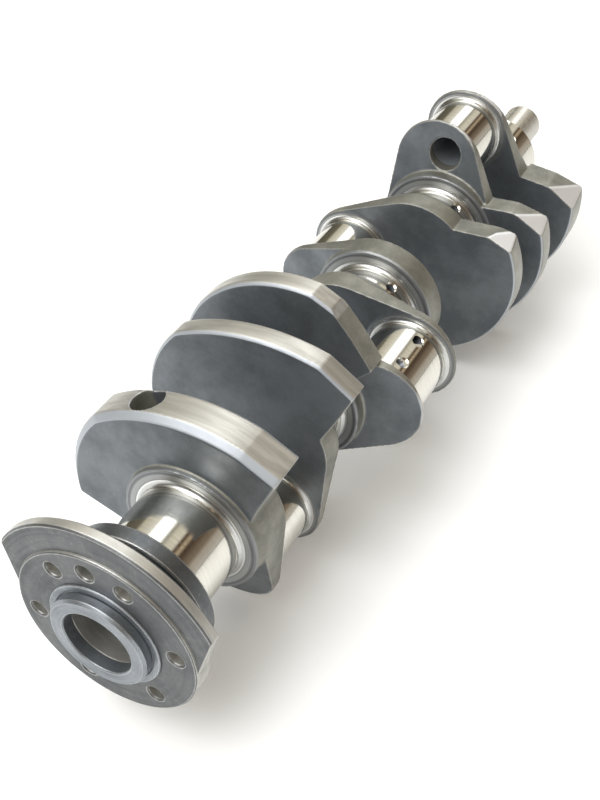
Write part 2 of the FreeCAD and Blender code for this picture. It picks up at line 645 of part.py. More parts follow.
def build():
    nodes = {}
    rear_end(nodes)
    oil = oil_drillings()
    for number in range(1, 6):
        label = "main_journal_%d" % number
        nodes[label] = cut(label, main_journal(number), oil)
    pin_1 = pin_place(1)
    lightening = x_cylinder(
        "lightening_hole", cell("lightening_radius"),
        "%s - %s - Sizes.tool_reach / 4" % (x_of_pin(1), CHEEK),
        "%s - %s + Sizes.lightening_depth" % (x_of_pin(1), CHEEK),
        ("%s + %s + %s" % (pin_1[0], across("Sizes.lightening_outset", "90"),
                           across("Sizes.lightening_aside", "180")),
         "%s + %s + %s" % (pin_1[1], up("Sizes.lightening_outset", "90"),
                           up("Sizes.lightening_aside", "180"))))
    pin_1_holes = joined("crankpin_1_holes", [oil, lightening])
    for number in range(1, 5):
        label = "crankpin_%d" % number
        nodes[label] = cut(label, crankpin(number), pin_1_holes if number == 1 else oil)
    for number in range(1, 9):
        blank = web_blank(number)
        label = "web_%d" % number
        nodes[label] = cut(label, blank, pin_1_holes if number == 2 else oil)
        if number in WEIGHTS:
            weight = counterweight(number, blank)
            weight_label = "counterweight_%d" % number
            if number == 8:
                bob = radial_cylinder(
                    "balance_hole", cell("bob_hole_radius"), "Sizes.bob_hole_angle",
                    "(Sizes.web8_rear + Sizes.cw8_front) / 2 + Sizes.bob_hole_forward",
                    "Sizes.cw8_shoulder_a_reach - Sizes.bob_hole_depth",
                    "Sizes.cw8_shoulder_a_reach + Sizes.tool_reach")
                weight = cut(weight_label, weight, bob)
            nodes[weight_label] = weight
    front_end(nodes)
    return nodes


def check(nodes):
    faults = [thing.Label for thing in doc.Objects
              if "Invalid" in thing.State or "Error" in thing.State]
    for label, node in nodes.items():
        if node.Shape.isNull() or not node.Shape.isValid():
            faults.append(label + " has no valid shape")
        elif len(node.Shape.Solids) != 1:
            faults.append("%s has %d solids" % (label, len(node.Shape.Solids)))
    if faults:
        sys.exit("not written: " + ", ".join(faults))


def main():
    fill_sheet()
    nodes = build()
    doc.recompute()
    for label, node in nodes.items():
        node.Label = label
    check(nodes)
    os.makedirs("parts", exist_ok=True)
    for label, node in nodes.items():
        node.Shape.exportStep("parts/%s.step" % label)
        print("%-24s %10.0f mm3" % (label, node.Shape.Volume))


main()
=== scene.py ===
import math
import bpy
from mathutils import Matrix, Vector


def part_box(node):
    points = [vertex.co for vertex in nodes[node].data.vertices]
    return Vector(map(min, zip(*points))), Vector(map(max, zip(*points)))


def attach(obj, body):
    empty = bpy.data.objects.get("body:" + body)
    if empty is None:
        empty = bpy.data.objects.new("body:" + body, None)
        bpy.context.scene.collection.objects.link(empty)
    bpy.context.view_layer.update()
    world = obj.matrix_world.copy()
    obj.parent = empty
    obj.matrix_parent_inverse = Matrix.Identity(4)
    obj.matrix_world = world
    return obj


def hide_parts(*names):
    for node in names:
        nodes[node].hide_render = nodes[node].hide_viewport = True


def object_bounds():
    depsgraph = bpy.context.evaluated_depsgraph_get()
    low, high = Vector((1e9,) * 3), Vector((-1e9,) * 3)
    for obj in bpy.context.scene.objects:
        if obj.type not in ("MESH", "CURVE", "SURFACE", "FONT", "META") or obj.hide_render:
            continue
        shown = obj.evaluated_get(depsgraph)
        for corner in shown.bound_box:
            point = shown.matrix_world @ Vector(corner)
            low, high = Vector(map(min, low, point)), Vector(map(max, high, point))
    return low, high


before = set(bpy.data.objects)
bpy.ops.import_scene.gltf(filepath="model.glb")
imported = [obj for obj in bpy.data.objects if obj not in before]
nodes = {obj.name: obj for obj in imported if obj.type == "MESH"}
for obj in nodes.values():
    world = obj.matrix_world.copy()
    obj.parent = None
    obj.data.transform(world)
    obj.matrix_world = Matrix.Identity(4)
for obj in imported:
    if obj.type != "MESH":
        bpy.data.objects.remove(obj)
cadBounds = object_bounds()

scene = bpy.context.scene
mm = 0.001
# farther from the crank axis than any part of the crank, in metres
farOut = 1.0


def select(*objects):
    bpy.ops.object.select_all(action="DESELECT")
    for item in objects:
        item.select_set(True)
    bpy.context.view_layer.objects.active = objects[0]


def applyAll(piece):
    select(piece)
    for modifier in list(piece.modifiers):
        bpy.ops.object.modifier_apply(modifier=modifier.name)


def middle(node):
    low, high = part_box(node)
    return (low + high) / 2


def dress(piece, material):
    piece.data.materials.clear()
    piece.data.materials.append(material)
    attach(piece, "root")


# shader helpers

def addNode(tree, kind, label=None, **settings):
    node = tree.nodes.new(kind)
    if label:
        node.label = label
    for name, value in settings.items():
        setattr(node, name, value)
    return node


def feed(tree, source, target):
    # source is a socket or a plain value
    if isinstance(source, bpy.types.NodeSocket):
        tree.links.new(source, target)
    else:
        target.default_value = source


def calc(tree, operation, *values, clamp=False):
    node = addNode(tree, "ShaderNodeMath", operation=operation, use_clamp=clamp)
    for place, value in enumerate(values):
        feed(tree, value, node.inputs[place])
    return node.outputs[0]


def blend(tree, factor, first, second):
    node = addNode(tree, "ShaderNodeMix", data_type="RGBA")
    feed(tree, factor, node.inputs["Factor"])
    feed(tree, first, node.inputs[6])
    feed(tree, second, node.inputs[7])
    return node.outputs[2]


def spread(tree, value, low, high, newLow=0.0, newHigh=1.0):
    node = addNode(tree, "ShaderNodeMapRange", interpolation_type="SMOOTHSTEP")
    feed(tree, value, node.inputs["Value"])
    limits = {"From Min": low, "From Max": high, "To Min": newLow, "To Max": newHigh}
    for name, number in limits.items():
        feed(tree, number, node.inputs[name])
    return node.outputs["Result"]


def noise(tree, vector, scale, detail=3.0, roughness=0.55):
    node = addNode(tree, "ShaderNodeTexNoise")
    feed(tree, vector, node.inputs["Vector"])
    node.inputs["Scale"].default_value = scale
    node.inputs["Detail"].default_value = detail
    node.inputs["Roughness"].default_value = roughness
    return node.outputs["Fac"]


def vectorOf(tree, x, y, z):
    node = addNode(tree, "ShaderNodeCombineXYZ")
    for place, value in enumerate((x, y, z)):
        feed(tree, value, node.inputs[place])
    return node.outputs[0]


def newGroup(name, inputs, outputs):
    group = bpy.data.node_groups.new(name, "ShaderNodeTree")
    for label, kind, value in inputs:
        socket = group.interface.new_socket(name=label, in_out="INPUT", socket_type=kind)
        if value is not None:
            socket.default_value = value
    for label, kind in outputs:
        group.interface.new_socket(name=label, in_out="OUTPUT", socket_type=kind)
    return group, addNode(group, "NodeGroupInput"), addNode(group, "NodeGroupOutput")


def useGroup(tree, group, **values):
    node = addNode(tree, "ShaderNodeGroup", label=group.name, node_tree=group)
    for name, value in values.items():
        feed(tree, value, node.inputs[name.replace("_", " ")])
    return node


floatSocket, vectorSocket = "NodeSocketFloat", "NodeSocketVector"


# effects that several finishes share

def makePolar():
    # distance from an axis along X, and place round it
    group, given, out = newGroup("polar place", [("Centre", vectorSocket, (0, 0, 0))],
                                 [("Radius", floatSocket), ("Turn", floatSocket),
                                  ("Along", floatSocket), ("Place", vectorSocket)])
    place = addNode(group, "ShaderNodeTexCoord").outputs["Object"]
    moved = addNode(group, "ShaderNodeVectorMath", operation="SUBTRACT")
    feed(group, place, moved.inputs[0])
    feed(group, given.outputs["Centre"], moved.inputs[1])
    parts = addNode(group, "ShaderNodeSeparateXYZ")
    feed(group, moved.outputs[0], parts.inputs[0])
    flat = vectorOf(group, 0.0, parts.outputs["Y"], parts.outputs["Z"])
    length = addNode(group, "ShaderNodeVectorMath", operation="LENGTH")
    feed(group, flat, length.inputs[0])
    feed(group, length.outputs["Value"], out.inputs["Radius"])
    feed(group, calc(group, "ARCTAN2", parts.outputs["Z"], parts.outputs["Y"]), out.inputs["Turn"])
    feed(group, parts.outputs["X"], out.inputs["Along"])
    feed(group, moved.outputs[0], out.inputs["Place"])
    return group


turning = {"pitch": 0.0004, "waver": 0.5, "fineDetail": 2.0, "wideDetail": 3.0, "roughness": 0.6,
           "wideShare": 0.16, "streak": (0.32, 0.68)}


def makeTurningMarks():
    # fine grooves that run round the axis, on the faces as rings and on the rims as lines
    group, given, out = newGroup(
        "turning marks", [("Radius", floatSocket, 0.0), ("Along", floatSocket, 0.0),
                          ("Turn", floatSocket, 0.0), ("Pitch", floatSocket, turning["pitch"])],
        [("Height", floatSocket), ("Streak", floatSocket)])
    turn, pitch = given.outputs["Turn"], given.outputs["Pitch"]
    across = calc(group, "DIVIDE", given.outputs["Radius"], pitch)
    along = calc(group, "DIVIDE", given.outputs["Along"], pitch)
    waver = calc(group, "MULTIPLY", turn, turning["waver"])
    fine = noise(group, vectorOf(group, along, across, waver), 1.0, turning["fineDetail"],
                 turning["roughness"])
    share = turning["wideShare"]
    wideVector = vectorOf(group, calc(group, "MULTIPLY", along, share),
                          calc(group, "MULTIPLY", across, share), turn)
    wide = noise(group, wideVector, 1.0, turning["wideDetail"], turning["roughness"])
    feed(group, fine, out.inputs["Height"])
    feed(group, spread(group, wide, *turning["streak"]), out.inputs["Streak"])
    return group


peened = {"grain": 900.0, "grainDetail": 2.0, "cloudNoise": (34.0, 5.0, 0.62), "clouds": (0.3, 0.7),
          "speckNoise": (420.0, 3.0, 0.7), "specks": (0.56, 0.74)}


def makePeening():
    # the grain of a shot-peened forging, with cloudy stains over it
    group, given, out = newGroup(
        "peened grain", [("Place", vectorSocket, (0, 0, 0)), ("Grain", floatSocket, peened["grain"])],
        [("Height", floatSocket), ("Clouds", floatSocket), ("Specks", floatSocket)])
    place = given.outputs["Place"]
    grain = addNode(group, "ShaderNodeTexNoise")
    feed(group, place, grain.inputs["Vector"])
    feed(group, given.outputs["Grain"], grain.inputs["Scale"])
    grain.inputs["Detail"].default_value = peened["grainDetail"]
    feed(group, grain.outputs["Fac"], out.inputs["Height"])
    clouds = noise(group, place, *peened["cloudNoise"])
    specks = noise(group, place, *peened["speckNoise"])
    feed(group, spread(group, clouds, *peened["clouds"]), out.inputs["Clouds"])
    feed(group, spread(group, specks, *peened["specks"]), out.inputs["Specks"])
    return group


# settings of the rubbed edges and the painted edge highlight laid on them
rubAndHighlightLook = {"width": 0.0008, "samples": 6, "raggedScale": 260.0, "raggedDetail": 3.0, "ragged": 0.05,
           "turned": (-0.03, 0.10)}


def makeEdgeRubAndHighlight():
    # rubbed edges with a painted edge highlight: where the surface turns within the given width
    group, given, out = newGroup(
        "edge rub and highlight", [("Width", floatSocket, rubAndHighlightLook["width"]), ("Place", vectorSocket, (0, 0, 0))],
        [("Rub and highlight", floatSocket), ("Normal", vectorSocket)])
    bevel = addNode(group, "ShaderNodeBevel", samples=rubAndHighlightLook["samples"])
    feed(group, given.outputs["Width"], bevel.inputs["Radius"])
    plain = addNode(group, "ShaderNodeNewGeometry")
    dot = addNode(group, "ShaderNodeVectorMath", operation="DOT_PRODUCT")
    feed(group, bevel.outputs["Normal"], dot.inputs[0])
    feed(group, plain.outputs["Normal"], dot.inputs[1])
    flecks = noise(group, given.outputs["Place"], rubAndHighlightLook["raggedScale"], rubAndHighlightLook["raggedDetail"])
    ragged = calc(group, "MULTIPLY", flecks, rubAndHighlightLook["ragged"])
    turned = calc(group, "SUBTRACT", 1.0, calc(group, "ADD", dot.outputs["Value"], ragged))
    feed(group, spread(group, turned, *rubAndHighlightLook["turned"]), out.inputs["Rub and highlight"])
    feed(group, bevel.outputs["Normal"], out.inputs["Normal"])
    return group


zoneSoftness = 0.0003


def makeZone():
    # a band from one value to another with soft ends
    group, given, out = newGroup(
        "zone", [("Value", floatSocket, 0.0), ("Start", floatSocket, 0.0), ("End", floatSocket, 1.0),
                 ("Soft", floatSocket, zoneSoftness)], [("Mask", floatSocket)])
    value, soft = given.outputs["Value"], given.outputs["Soft"]
    steps = []
    for edge in (given.outputs["Start"], given.outputs["End"]):
        steps.append(spread(group, value, calc(group, "SUBTRACT", edge, soft),
                            calc(group, "ADD", edge, soft)))
    feed(group, calc(group, "SUBTRACT", *steps, clamp=True), out.inputs["Mask"])
    return group


polar = makePolar()
turningMarks = makeTurningMarks()
peening = makePeening()
edgeRubAndHighlight = makeEdgeRubAndHighlight()
zone = makeZone()
print("shared effects built")


def startMaterial(name, metallic=1.0):
    material = bpy.data.materials.new(name)
    material.use_nodes = True
    tree = material.node_tree
    shader = tree.nodes["Principled BSDF"]
    shader.inputs["Metallic"].default_value = metallic
    return material, tree, shader


def bump(tree, height, strength, distance, normal=None):
    node = addNode(tree, "ShaderNodeBump")
    node.inputs["Strength"].default_value = strength
    node.inputs["Distance"].default_value = distance
    feed(tree, height, node.inputs["Height"])
    if normal is not None:
        feed(tree, normal, node.inputs["Normal"])
    return node.outputs["Normal"]


def band(tree, value, start, end, soft):
    return useGroup(tree, zone, Value=value, Start=start, End=end, Soft=soft).outputs["Mask"]


def dotOf(tree, first, second):
    node = addNode(tree, "ShaderNodeVectorMath", operation="DOT_PRODUCT")
    feed(tree, first, node.inputs[0])
    feed(tree, second, node.inputs[1])
    return node.outputs["Value"]


def facingAlong(tree):
    # how squarely the surface faces along the crank, from 0 to 1
    parts = addNode(tree, "ShaderNodeSeparateXYZ")
    feed(tree, addNode(tree, "ShaderNodeNewGeometry").outputs["Normal"], parts.inputs[0])
    return calc(tree, "ABSOLUTE", parts.outputs["X"])


def marksRound(tree, place, pitch):
    return useGroup(tree, turningMarks, Radius=place.outputs["Radius"], Along=place.outputs["Along"],
                    Turn=place.outputs["Turn"], Pitch=pitch)


# ground and polished journals, with a duller corner radius, rubbed edges with a painted edge highlight, and
# painted shade darkening the oil holes
journalFinish = {
    "polish": (0.70, 0.685, 0.63, 1), "streak": (0.60, 0.58, 0.53, 1), "streakShare": 0.5,
    "corner": (0.54, 0.545, 0.54, 1), "cornerStart": 0.25 * mm, "cornerSoft": 0.15 * mm,
    # edge: the rubbed edges, lightened with a painted edge highlight
    "edge": (0.95, 0.95, 0.94, 1), "rubAndHighlightShare": 0.5, "rubAndHighlightWidth": 0.5 * mm,
    # hole: painted shade darkening the inside of the oil holes and bores, which are also duller and less
    # metallic
    "hole": (0.24, 0.26, 0.29, 1), "holeDepth": 2.2 * mm, "holeSoft": 0.5 * mm, "holeMetal": 0.35,
    "gloss": 0.07, "streakGloss": 0.06, "cornerGloss": 0.2, "holeGloss": 0.25,
    "pitch": 0.0003, "bump": (0.10, 0.00004),
}
mainRadius = 33.655 * mm
pinRadius = 26.67 * mm


def journalMaterial(name, centre, radius):
    finish = journalFinish
    material, tree, shader = startMaterial(name)
    place = useGroup(tree, polar, Centre=(0, centre.y, centre.z))
    marks = marksRound(tree, place, finish["pitch"])
    rubAndHighlight = useGroup(tree, edgeRubAndHighlight, Width=finish["rubAndHighlightWidth"], Place=place.outputs["Place"])
    corner = band(tree, place.outputs["Radius"], radius + finish["cornerStart"], farOut,
                  finish["cornerSoft"])
    inside = band(tree, place.outputs["Radius"], -farOut, radius - finish["holeDepth"],
                  finish["holeSoft"])
    streak = calc(tree, "MULTIPLY", marks.outputs["Streak"], finish["streakShare"])
    # rubbed edges lightened with a painted edge highlight
    rubbedAndHighlit = calc(tree, "MULTIPLY", rubAndHighlight.outputs["Rub and highlight"], finish["rubAndHighlightShare"])
    colour = blend(tree, streak, finish["polish"], finish["streak"])
    colour = blend(tree, corner, colour, finish["corner"])
    colour = blend(tree, rubbedAndHighlit, colour, finish["edge"])
    # painted shade inside the oil holes and bores
    colour = blend(tree, inside, colour, finish["hole"])
    feed(tree, colour, shader.inputs["Base Color"])
    feed(tree, spread(tree, inside, 0.0, 1.0, 1.0, finish["holeMetal"]), shader.inputs["Metallic"])
    gloss = spread(tree, marks.outputs["Streak"], 0.0, 1.0, finish["gloss"],
                   finish["gloss"] + finish["streakGloss"])
    gloss = calc(tree, "ADD", gloss, calc(tree, "MULTIPLY", corner, finish["cornerGloss"]))
    gloss = calc(tree, "ADD", gloss, calc(tree, "MULTIPLY", inside, finish["holeGloss"]))
    feed(tree, gloss, shader.inputs["Roughness"])
    feed(tree, bump(tree, marks.outputs["Height"], *finish["bump"]), shader.inputs["Normal"])
    return material


# turned ends: face and rim tones, rubbed edges lightened with a painted edge highlight, and the radius
# inside which no edge is lightened, because there the pieces only meet
turnedFinish = {
    "flange": {"face": (0.125, 0.131, 0.137, 1), "dark": (0.085, 0.091, 0.098, 1),
               "rim": (0.62, 0.61, 0.57, 1), "edge": (0.78, 0.78, 0.76, 1),
               "gloss": 0.36, "pitch": 0.00055, "rubHighlightWidth": 0.0010, "quiet": 22.6 * mm},
    "register": {"face": (0.27, 0.295, 0.325, 1), "dark": (0.17, 0.19, 0.21, 1),
                 "rim": (0.22, 0.24, 0.262, 1), "edge": (0.66, 0.67, 0.69, 1),
                 "gloss": 0.32, "pitch": 0.0005, "rubHighlightWidth": 0.0008, "quiet": 0.0},
    "seal": {"face": (0.12, 0.13, 0.14, 1), "dark": (0.07, 0.075, 0.08, 1), "rim": (0.16, 0.17, 0.175, 1),
             "edge": (0.40, 0.40, 0.39, 1), "gloss": 0.4, "pitch": 0.0007, "rubHighlightWidth": 0.0009,
             "quiet": 22.6 * mm},
    "slinger": {"face": (0.16, 0.17, 0.18, 1), "dark": (0.10, 0.107, 0.115, 1),
                "rim": (0.125, 0.135, 0.145, 1), "edge": (0.80, 0.79, 0.76, 1),
                "gloss": 0.38, "pitch": 0.0007, "rubHighlightWidth": 0.0012, "quiet": 0.0},
    "nose": {"face": (0.60, 0.585, 0.54, 1), "dark": (0.48, 0.468, 0.43, 1), "rim": (0.62, 0.605, 0.555, 1),
             "edge": (0.84, 0.83, 0.80, 1), "gloss": 0.26, "pitch": 0.0005, "rubHighlightWidth": 0.0006,
             "quiet": 0.0},
}

turnedShared = {"metal": 0.75, "rimFacing": (0.75, 0.35), "grain": 700.0, "cloudShare": 0.55,
                "streakShare": 0.45, "rimStain": 0.5, "speckShare": 0.10, "glossBelow": 0.06,
                "glossAbove": 0.14, "bump": (0.35, 0.00008)}


def turnedMaterial(name, look):
    finish, shared = turnedFinish[look], turnedShared
    material, tree, shader = startMaterial(name, shared["metal"])
    place = useGroup(tree, polar, Centre=(0, 0, 0))
    marks = marksRound(tree, place, finish["pitch"])
    rim = spread(tree, facingAlong(tree), *shared["rimFacing"])
    cloudy = useGroup(tree, peening, Place=place.outputs["Place"], Grain=shared["grain"])
    rubAndHighlight = useGroup(tree, edgeRubAndHighlight, Width=finish["rubHighlightWidth"], Place=place.outputs["Place"])
    stain = calc(tree, "ADD", calc(tree, "MULTIPLY", cloudy.outputs["Clouds"], shared["cloudShare"]),
                 calc(tree, "MULTIPLY", marks.outputs["Streak"], shared["streakShare"]))
    colour = blend(tree, stain, finish["face"], finish["dark"])
    rimTone = blend(tree, calc(tree, "MULTIPLY", stain, shared["rimStain"]), finish["rim"],
                    finish["dark"])
    colour = blend(tree, rim, colour, rimTone)
    colour = blend(tree, calc(tree, "MULTIPLY", cloudy.outputs["Specks"], shared["speckShare"]),
                   colour, finish["edge"])
    # rubbed edges lightened with a painted edge highlight, left out inside the quiet radius
    rubbedAndHighlit = calc(tree, "MULTIPLY", rubAndHighlight.outputs["Rub and highlight"],
                  calc(tree, "GREATER_THAN", place.outputs["Radius"], finish["quiet"]))
    colour = blend(tree, rubbedAndHighlit, colour, finish["edge"])
    feed(tree, colour, shader.inputs["Base Color"])
    feed(tree, spread(tree, stain, 0.0, 1.0, finish["gloss"] - shared["glossBelow"],
                      finish["gloss"] + shared["glossAbove"]), shader.inputs["Roughness"])
    feed(tree, bump(tree, marks.outputs["Height"], *shared["bump"], rubAndHighlight.outputs["Normal"]),
         shader.inputs["Normal"])
    return material


# the forged webs: peened cheeks, draft flanks, turned rims, milled corners and ground lands
webFinish = {
    "metal": 0.7, "face": (0.190, 0.208, 0.226, 1), "faceDark": (0.118, 0.132, 0.146, 1),
    "flank": (0.31, 0.305, 0.268, 1), "flankDark": (0.175, 0.176, 0.155, 1),
    "rim": (0.56, 0.55, 0.515, 1), "rimDark": (0.42, 0.412, 0.38, 1),
    "chamfer": (0.42, 0.45, 0.49, 1), "milled": (0.80, 0.81, 0.83, 1), "edge": (0.58, 0.58, 0.56, 1),
    "ground": (0.40, 0.41, 0.41, 1), "groundDark": (0.15, 0.16, 0.17, 1),
    "faceGloss": 0.42, "flankGloss": 0.46, "groundGloss": 0.08, "rimGloss": 0.14, "cloudGloss": 0.08,
    "grain": 950.0, "rimPitch": 0.6 * mm, "faceSpecks": 0.07, "flankSpecks": 0.15,
    "faceFacing": (0.80, 0.93), "rimFacing": (0.80, 0.88), "milledFacing": (0.90, 0.96),
    "chamferFacing": (0.35, 0.88, 0.05), "rimReach": (-1.5 * mm, -0.5 * mm),
    "milledReach": -0.7 * mm, "milledSoft": 0.2 * mm, "rubAndHighlightRange": (0.515, 0.56), "rubAndHighlight": 0.55,
    "landSoft": 0.15 * mm, "landDepth": 2.2 * mm, "landDepthSoft": 0.2 * mm,
    "landPitch": 3.4 * mm, "landRings": (0.36, 0.62), "bump": (0.4, 0.00012),
}


def webMaterial(name, rimRadius, milledPlane, lands, rimShade):
    finish = webFinish
    material, tree, shader = startMaterial(name, finish["metal"])
    place = useGroup(tree, polar, Centre=(0, 0, 0))
    marks = marksRound(tree, place, finish["rimPitch"])
    grain = useGroup(tree, peening, Place=place.outputs["Place"], Grain=finish["grain"])
    geometry = addNode(tree, "ShaderNodeNewGeometry")
    normal, clouds, specks = geometry.outputs["Normal"], grain.outputs["Clouds"], grain.outputs["Specks"]
    flat = spread(tree, facingAlong(tree), *finish["faceFacing"])
    face = blend(tree, clouds, finish["face"], finish["faceDark"])
    face = blend(tree, calc(tree, "MULTIPLY", specks, finish["faceSpecks"]), face, finish["edge"])
    flank = blend(tree, clouds, finish["flank"], finish["flankDark"])
    flank = blend(tree, calc(tree, "MULTIPLY", specks, finish["flankSpecks"]), flank, finish["rim"])
    rimTone = blend(tree, marks.outputs["Streak"], finish["rim"], finish["rimDark"])
    # painted shade: the turned rim takes the darker flank tone by rimShade
    rimTone = blend(tree, rimShade, rimTone, flank)
    # the turned rim lies outside its radius, where the surface faces away from the axis
    across = addNode(tree, "ShaderNodeVectorMath", operation="MULTIPLY")
    feed(tree, place.outputs["Place"], across.inputs[0])
    feed(tree, (0, 1, 1), across.inputs[1])
    unit = addNode(tree, "ShaderNodeVectorMath", operation="NORMALIZE")
    feed(tree, across.outputs[0], unit.inputs[0])
    outward = dotOf(tree, normal, unit.outputs[0])
    nearRim = spread(tree, place.outputs["Radius"], *[rimRadius + step for step in finish["rimReach"]])
    turnedRim = calc(tree, "MULTIPLY", spread(tree, outward, *finish["rimFacing"]), nearRim)
    chamfer = calc(tree, "MULTIPLY", band(tree, outward, *finish["chamferFacing"]), nearRim)
    colour = blend(tree, flat, flank, face)
    colour = blend(tree, chamfer, colour, finish["chamfer"])
    colour = blend(tree, turnedRim, colour, rimTone)
    if milledPlane:
        planeNormal, point = milledPlane
        depth = point.dot(planeNormal)
        onPlane = band(tree, dotOf(tree, place.outputs["Place"], planeNormal),
                       depth + finish["milledReach"], depth + farOut, finish["milledSoft"])
        aimed = spread(tree, dotOf(tree, normal, planeNormal), *finish["milledFacing"])
        colour = blend(tree, calc(tree, "MULTIPLY", onPlane, aimed), colour, finish["milled"])
    # convex edges lightened: rubbed edges, partly a painted edge highlight
    rubAndHighlight = spread(tree, geometry.outputs["Pointiness"], *finish["rubAndHighlightRange"], 0.0, finish["rubAndHighlight"])
    colour = blend(tree, rubAndHighlight, colour, finish["edge"])
    ground = 0.0
    for centre, inner, outer, x in lands:
        ring = useGroup(tree, polar, Centre=(x, centre.y, centre.z))
        near = calc(tree, "MULTIPLY",
                    band(tree, ring.outputs["Radius"], inner, outer, finish["landSoft"]),
                    band(tree, ring.outputs["Along"], -finish["landDepth"], finish["landDepth"],
                         finish["landDepthSoft"]))
        rings = useGroup(tree, turningMarks, Radius=ring.outputs["Radius"], Along=0.0, Turn=0.0,
                         Pitch=finish["landPitch"])
        tone = blend(tree, spread(tree, rings.outputs["Height"], *finish["landRings"]),
                     finish["ground"], finish["groundDark"])
        colour = blend(tree, near, colour, tone)
        ground = calc(tree, "MAXIMUM", ground, near)
    feed(tree, colour, shader.inputs["Base Color"])
    gloss = spread(tree, flat, 0.0, 1.0, finish["flankGloss"], finish["faceGloss"])
    gloss = calc(tree, "SUBTRACT", gloss, calc(tree, "MULTIPLY", ground, finish["groundGloss"]))
    gloss = calc(tree, "SUBTRACT", gloss, calc(tree, "MULTIPLY", turnedRim, finish["rimGloss"]))
    gloss = calc(tree, "ADD", gloss, calc(tree, "MULTIPLY", clouds, finish["cloudGloss"]))
    feed(tree, gloss, shader.inputs["Roughness"])
    height = calc(tree, "MULTIPLY", grain.outputs["Height"], calc(tree, "SUBTRACT", 1.0, turnedRim))
    height = calc(tree, "ADD", height, calc(tree, "MULTIPLY", marks.outputs["Height"], turnedRim))
    feed(tree, bump(tree, height, *finish["bump"]), shader.inputs["Normal"])
    return material


# how each web is forged from its CAD solids: merged, fused, softened and thinned
forging = {"weld": 0.002 * mm, "voxel": 0.75 * mm, "softening": 0.5, "rounds": 5, "keep": 0.45,
           "smoothAngle": math.radians(35)}

# rim: distance from the crank axis beyond which a counterweight's edge is turned
# milled: the milled corner of a front counterweight, as how far down its rear edge it reaches at
# the tip, and where it starts on that edge, inward and up from the tip
# rimShade: painted shade on the turned rims of counterweights 1 to 3, as how much of the flank's darker
# tone the rim takes
webs = {
    1: {"rim": 84.0 * mm, "milled": (6.5 * mm, 18.0 * mm, 5.35 * mm), "rimShade": 0.8},
    2: {"rim": 83.5 * mm, "milled": (5.5 * mm, 17.5 * mm, 4.0 * mm), "rimShade": 0.8},
    3: {"rim": 78.5 * mm, "milled": (4.5 * mm, 16.0 * mm, 2.2 * mm), "rimShade": 0.8},
    4: {"rim": farOut, "milled": None, "rimShade": 0.0},
    5: {"rim": farOut, "milled": None, "rimShade": 0.0},
    6: {"rim": 81.5 * mm, "milled": None, "rimShade": 0.0},
    7: {"rim": 77.8 * mm, "milled": None, "rimShade": 0.0},
    8: {"rim": 72.5 * mm, "milled": None, "rimShade": 0.0},
}


def mergedCopy(nodeName, name):
    piece = bpy.data.objects.new(name, nodes[nodeName].data.copy())
    scene.collection.objects.link(piece)
    select(piece)
    bpy.ops.object.mode_set(mode="EDIT")
    bpy.ops.mesh.select_all(action="SELECT")
    bpy.ops.mesh.remove_doubles(threshold=forging["weld"])
    bpy.ops.object.mode_set(mode="OBJECT")
    return piece


# how near its end face a point of the outline lies, and how much height counts in finding the tip
tip = {"near": 0.3 * mm, "height": 0.75}


def tipCorners(weight):
    # the outer corners of the flank that looks up, towards -Y: rear and front
    low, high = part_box(weight)
    places = [v.co for v in nodes[weight].data.vertices]
    corners = []
    for x in (low.x, high.x):
        edge = [p for p in places if abs(p.x - x) < tip["near"]]
        corners.append(max(edge, key=lambda p: p.z * tip["height"] - p.y))
    return corners


def cutMilledCorner(piece, weight, milled):
    drop, inward, rise = milled
    rear, front = tipCorners(weight)
    lowered = rear + Vector((0, 0, -drop))
    start = rear + Vector((0, inward, rise))
    normal = (lowered - front).cross(start - front).normalized()
    if normal.z < 0:
        normal.negate()
    select(piece)
    bpy.ops.object.mode_set(mode="EDIT")
    bpy.ops.mesh.select_all(action="SELECT")
    bpy.ops.mesh.bisect(plane_co=front, plane_no=normal, use_fill=True, clear_outer=True)
    bpy.ops.object.mode_set(mode="OBJECT")
    return normal, Vector(front)


# inner and outer radius of the ground lands beside the journals
landRadii = {"main": (36.5 * mm, 45.0 * mm), "pin": (28.6 * mm, 31.9 * mm)}


def groundLands(number):
    # where a web's two ground lands are: centre of its journal, radii and place along the crank
    pin = "crankpin_%d" % ((number + 1) // 2)
    main = "main_journal_%d" % (number // 2 + 1)
    pinBox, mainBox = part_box(pin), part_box(main)
    pinEnd = number % 2
    return [(middle(pin), *landRadii["pin"], pinBox[pinEnd].x),
            (Vector((0, 0, 0)), *landRadii["main"], mainBox[1 - pinEnd].x)]


def forgedWeb(number, look):
    parts = ["web_%d" % number]
    piece = mergedCopy(parts[0], "forged_web_%d" % number)
    milledPlane = None
    weight = "counterweight_%d" % number
    if weight in nodes:
        parts.append(weight)
        block = mergedCopy(weight, "block")
        if look["milled"]:
            milledPlane = cutMilledCorner(block, weight, look["milled"])
        select(piece, block)
        bpy.ops.object.join()
    fuse = piece.modifiers.new("fuse", "REMESH")
    fuse.mode = "VOXEL"
    fuse.voxel_size = forging["voxel"]
    fuse.use_smooth_shade = True
    soften = piece.modifiers.new("soften", "SMOOTH")
    soften.factor = forging["softening"]
    soften.iterations = forging["rounds"]
    thin = piece.modifiers.new("thin", "DECIMATE")
    thin.ratio = forging["keep"]
    applyAll(piece)
    select(piece)
    bpy.ops.object.shade_smooth_by_angle(angle=forging["smoothAngle"])
    dress(piece, webMaterial("web %d finish" % number, look["rim"], milledPlane,
                             groundLands(number), look["rimShade"]))
    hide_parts(*parts)


for number, look in webs.items():
    forgedWeb(number, look)
print("webs forged")


# CAD pieces that stay in sight

def finishNode(name, material):
    for slot in nodes[name].material_slots:
        slot.material = material


